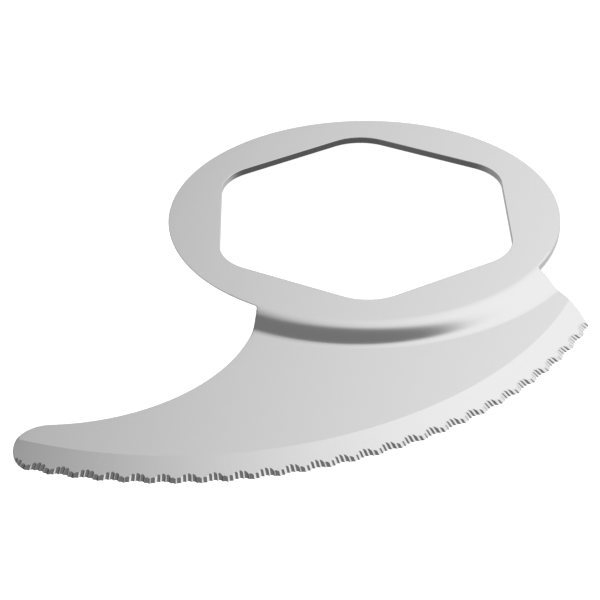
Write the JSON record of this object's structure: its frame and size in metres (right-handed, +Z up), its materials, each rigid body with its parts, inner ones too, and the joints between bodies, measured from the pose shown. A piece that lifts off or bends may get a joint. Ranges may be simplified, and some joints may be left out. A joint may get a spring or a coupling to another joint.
{
  "type": "food processor blade",
  "caption": "Serrated sickle blade of stainless sheet for a food processor: a ring with a hexagonal drive hole, a pressed step, and a curved wing with a bevelled, toothed edge.",
  "frame": {"origin": "centre of the hexagonal drive hole, on the underside of the ring", "axes": "+Z up along the drive axis, towards the bevelled side; two corners of the hexagon on Y; the wing lies towards -Y and its tip towards -X"},
  "size_m": [0.1485, 0.1733, 0.0049],
  "materials": {
    "blade_steel": "fine ground stainless steel, satin"
  },
  "bodies": {
    "root": {"blade": "blade_steel"}
  },
  "joints": []
}
